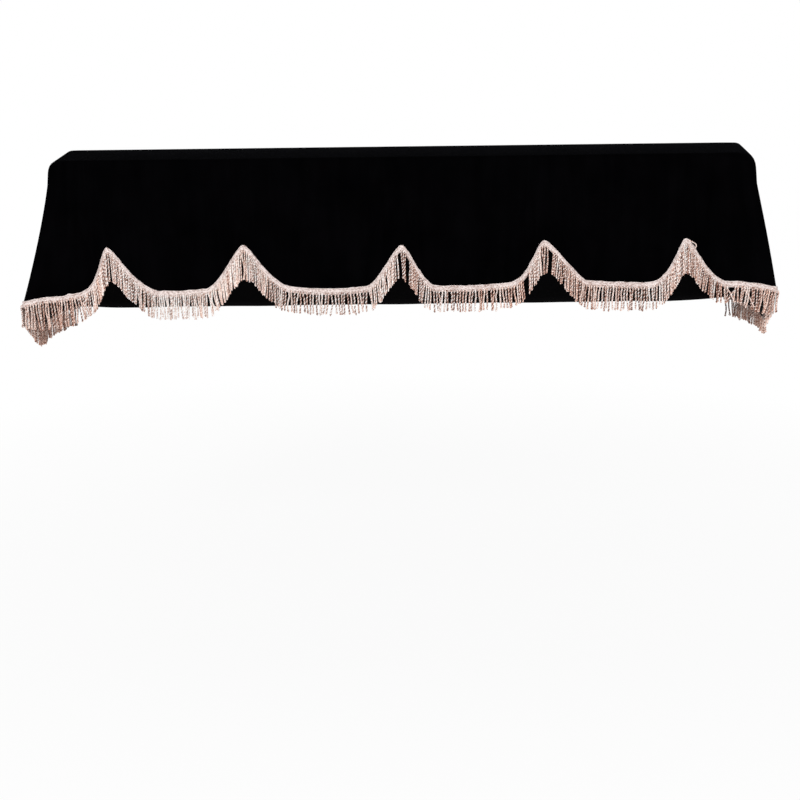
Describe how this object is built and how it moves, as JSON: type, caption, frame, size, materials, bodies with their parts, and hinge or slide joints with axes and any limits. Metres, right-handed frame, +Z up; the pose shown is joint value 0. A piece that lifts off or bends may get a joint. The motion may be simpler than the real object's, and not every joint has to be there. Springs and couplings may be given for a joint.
{
  "type": "piano keyboard dust cover",
  "caption": "Velvet dust cover for an upright piano, flared at its corners, with a looped bullion fringe along its scalloped front hem and its straight side hems.",
  "frame": {"origin": "middle of the cloth's flat underside, where the cover lies on the piano's top", "axes": "+X to the player's right, -Y towards the player, +Z up"},
  "size_m": [1.5895, 0.3088, 0.4105],
  "materials": {
    "velvet": "black cotton velvet, matt with a soft pile sheen",
    "braid": "champagne woven viscose heading, soft satin",
    "cords": "champagne twisted viscose cords, soft satin with rust shading between them"
  },
  "bodies": {
    "root": {"cover_cloth": "velvet", "fringe_heading": "braid", "fringe_cords": "cords"}
  },
  "joints": []
}
